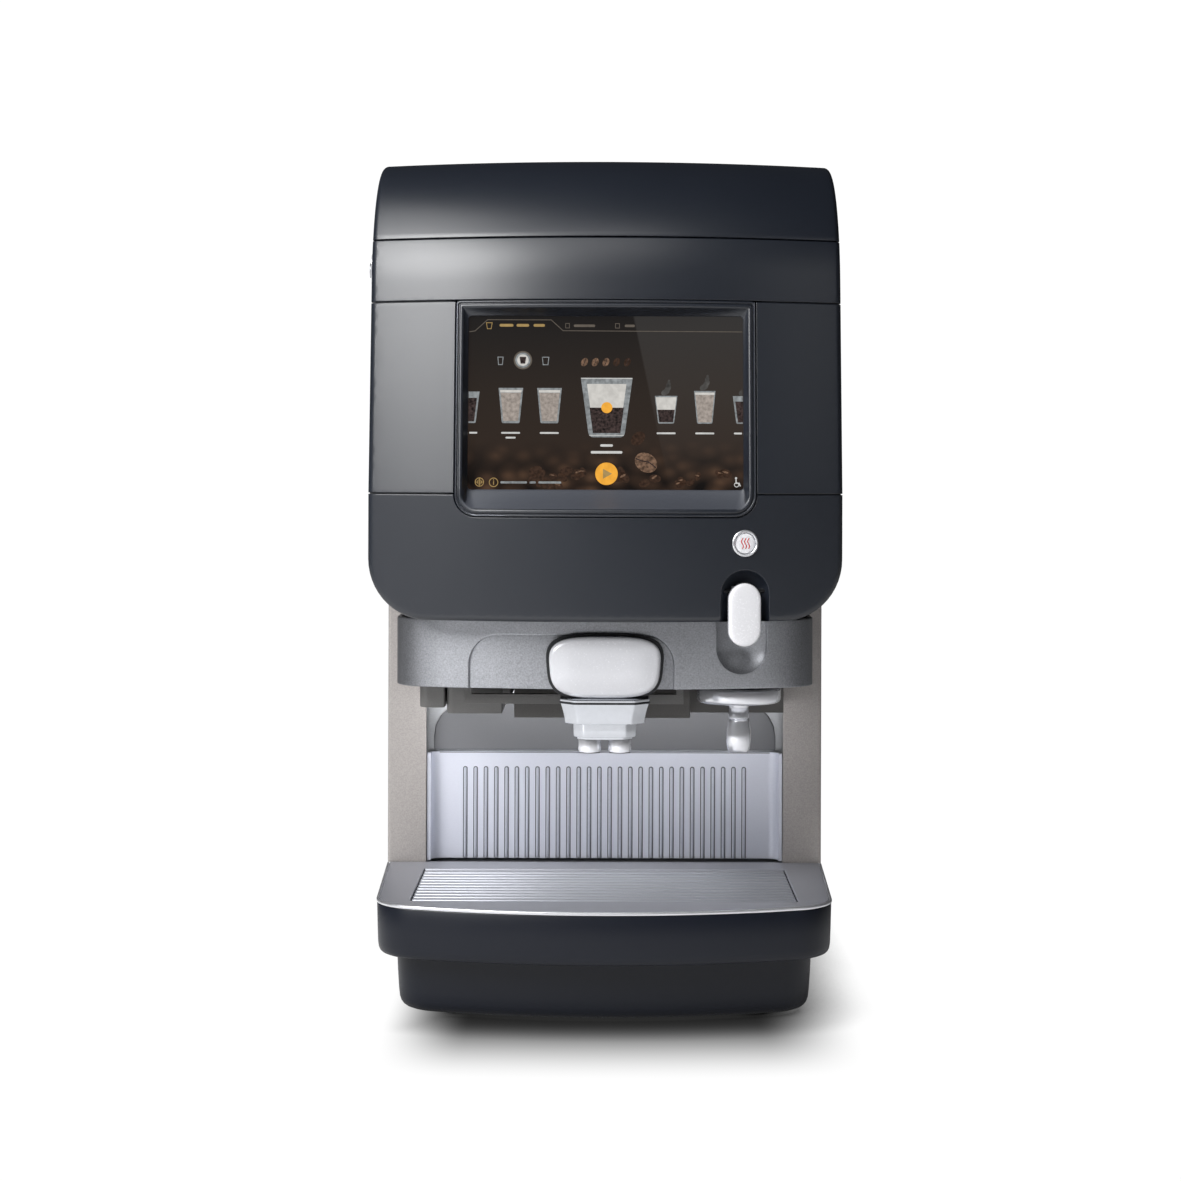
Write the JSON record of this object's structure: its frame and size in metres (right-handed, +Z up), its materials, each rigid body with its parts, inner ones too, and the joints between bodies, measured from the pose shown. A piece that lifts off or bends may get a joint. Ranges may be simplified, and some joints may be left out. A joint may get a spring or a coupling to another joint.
{
  "type": "hot coffee vending machine",
  "caption": "Countertop hot drinks dispenser with a bowed door, a touch screen, a sliding coffee outlet, a hot water tap and a pull-out drip tray.",
  "frame": {"origin": "centre of the overall box at floor level, under the feet", "axes": "front faces -Y, +X to the right seen from the front, +Z up"},
  "size_m": [0.386, 0.56, 0.694],
  "materials": {
    "midnight_paint": "satin dark blue-black",
    "black_plastic": "matte",
    "taupe_paint": "satin metallic",
    "silver_steel": "satin",
    "pewter_paint": "satin metallic",
    "chrome": "polished",
    "pearl_plastic": "gloss",
    "screen_glass": "gloss",
    "steel": "satin",
    "grey_plastic": "satin",
    "circuit_board": "satin",
    "copper_pipe": "satin",
    "carton": "matte",
    "rubber": "matte"
  },
  "bodies": {
    "cabinet": {"base_plinth": "midnight_paint", "foot_front_left": "rubber", "foot_front_right": "rubber", "foot_rear_left": "rubber", "foot_rear_right": "rubber", "right_side_panel": "taupe_paint", "left_side_panel": "taupe_paint", "rear_panel": "pewter_paint", "top_cover": "black_plastic", "head_shell": "black_plastic", "apron": "pewter_paint", "dispense_ceiling": "black_plastic", "splash_plate": "silver_steel", "upper_back_panel": "grey_plastic", "bulkhead": "steel", "mid_deck": "steel", "mixer_cover": "grey_plastic", "under_head_housing": "black_plastic", "outlet_rail": "steel", "hot_water_collar": "chrome", "hot_water_nozzle": "chrome", "boiler_tank": "steel", "water_pump": "grey_plastic", "inlet_valve": "grey_plastic", "power_inlet": "rubber", "power_supply": "steel", "control_board": "circuit_board", "fan_frame": "grey_plastic", "pack_shelf": "steel", "concentrate_pack_right": "carton", "concentrate_pack_left": "carton", "dosing_unit_right": "grey_plastic", "dosing_unit_left": "grey_plastic", "mixing_chamber": "grey_plastic", "hot_water_pipe": "copper_pipe", "top_hinge_fixed_leaf": "steel", "bottom_hinge_fixed_leaf": "steel", "lock_striker": "steel"},
    "door": {"upper_fascia": "midnight_paint", "left_cheek": "midnight_paint", "right_cheek": "midnight_paint", "lower_fascia": "midnight_paint", "screen_bezel": "midnight_paint", "touch_glass": "screen_glass", "display_module": "black_plastic", "door_inner_panel": "grey_plastic", "top_hinge_door_leaf": "steel", "bottom_hinge_door_leaf": "steel", "lock_escutcheon": "chrome", "button_ring": "chrome", "lever_pin": "steel"},
    "lock_barrel": {"lock_barrel": "steel"},
    "hot_water_button": {"hot_water_button": "pearl_plastic"},
    "hot_water_lever": {"hot_water_lever": "pearl_plastic"},
    "coffee_outlet": {"outlet_pad": "pearl_plastic", "outlet_spout": "chrome"},
    "drip_tray": {"tray_tub": "midnight_paint", "tray_top_plate": "pewter_paint"},
    "drip_grid": {"drip_grid": "silver_steel"},
    "fan_rotor": {"fan_rotor": "black_plastic"}
  },
  "joints": [
    {"name": "door_hinge", "type": "hinge", "parent": "cabinet", "child": "door", "pos_m": [0.19, -0.15, 0.45], "axis": [0, 0, 1], "range_deg": [0, 100]},
    {"name": "lock_turn", "type": "hinge", "parent": "door", "child": "lock_barrel", "pos_m": [-0.19, -0.175, 0.5985], "axis": [1, 0, 0], "range_deg": [0, 90]},
    {"name": "hot_water_button_press", "type": "slide", "parent": "door", "child": "hot_water_button", "axis": [-0.2159, 0.9764, 0], "range_m": [0, 0.003], "stiffness_N_per_m": 400, "springref_m": -0.001},
    {"name": "hot_water_lever_pull", "type": "hinge", "parent": "door", "child": "hot_water_lever", "pos_m": [0.10819, -0.24604, 0.341], "axis": [-0.9764, -0.2159, 0], "range_deg": [0, 20], "stiffness_Nm_per_rad": 0.2, "springref_deg": -5.73},
    {"name": "coffee_outlet_slide", "type": "slide", "parent": "cabinet", "child": "coffee_outlet", "axis": [1, 0, 0], "range_m": [-0.055, 0]},
    {"name": "drip_tray_slide", "type": "slide", "parent": "cabinet", "child": "drip_tray", "axis": [0, -1, 0], "range_m": [0, 0.2]},
    {"name": "drip_grid_lift", "type": "slide", "parent": "drip_tray", "child": "drip_grid", "axis": [0, 0, 1], "range_m": [0, 0.05]},
    {"name": "fan_spin", "type": "hinge", "parent": "cabinet", "child": "fan_rotor", "pos_m": [0.09, 0.2625, 0.5], "axis": [0, 1, 0], "continuous": true}
  ]
}
